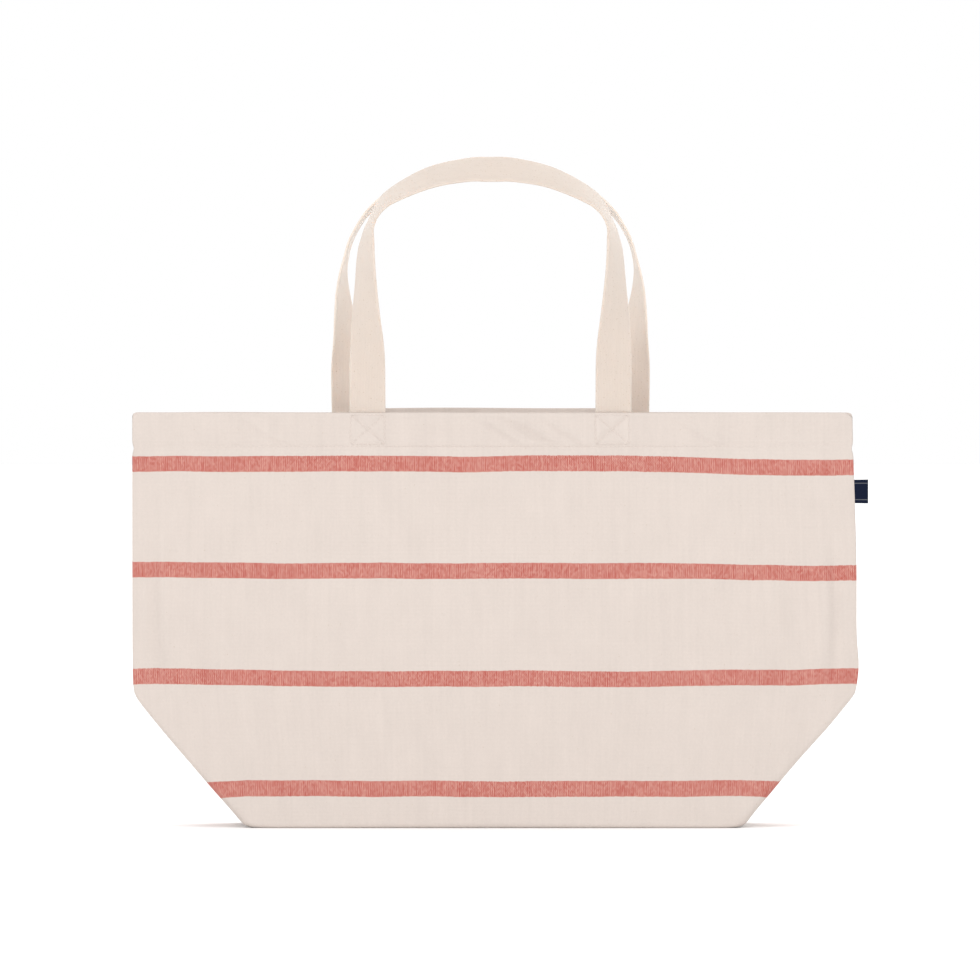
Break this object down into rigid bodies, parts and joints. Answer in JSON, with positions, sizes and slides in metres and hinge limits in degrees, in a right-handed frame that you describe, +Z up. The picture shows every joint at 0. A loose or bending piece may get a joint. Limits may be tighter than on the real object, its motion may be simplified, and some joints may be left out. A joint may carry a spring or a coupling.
{
  "type": "canvas tote bag",
  "caption": "Wide striped canvas tote bag standing open on a boxed base, with twisted webbing handles sewn in behind the hemmed rim and a small plain side tab.",
  "frame": {"origin": "middle of the base panel's underside, on the plane that the bag stands on", "axes": "+X along the mouth towards the seam with the tab, +Y from the front panel to the back panel, +Z up"},
  "size_m": [0.6118, 0.2004, 0.554],
  "materials": {
    "canvas": "matte",
    "webbing": "matte",
    "sewing_thread": "satin",
    "navy_label": "matte"
  },
  "bodies": {
    "bag": {"front_panel": "canvas", "back_panel": "canvas", "base_panel": "canvas", "base_seam": "canvas", "left_side_seam": "canvas", "right_side_seam": "canvas", "front_hem_facing": "canvas", "back_hem_facing": "canvas", "front_left_strap_end": "webbing", "front_right_strap_end": "webbing", "back_left_strap_end": "webbing", "back_right_strap_end": "webbing", "front_left_box_stitch": "sewing_thread", "front_right_box_stitch": "sewing_thread", "back_left_box_stitch": "sewing_thread", "back_right_box_stitch": "sewing_thread", "front_hem_stitch": "sewing_thread", "back_hem_stitch": "sewing_thread"},
    "front_loop": {"front_handle": "webbing"},
    "back_loop": {"back_handle": "webbing"},
    "tab": {"side_label": "navy_label"}
  },
  "joints": [
    {"name": "front_handle_fall", "type": "hinge", "parent": "bag", "child": "front_loop", "pos_m": [-0.0033, -0.04897, 0.345], "axis": [1, 0, 0], "range_deg": [-6, 170]},
    {"name": "back_handle_fall", "type": "hinge", "parent": "bag", "child": "back_loop", "pos_m": [-0.0033, 0.04694, 0.345], "axis": [-1, 0, 0], "range_deg": [-6, 170]},
    {"name": "tab_bend", "type": "hinge", "parent": "bag", "child": "tab", "pos_m": [0.3, 0, 0.2763], "axis": [0, 0, 1], "range_deg": [-75, 75]}
  ]
}
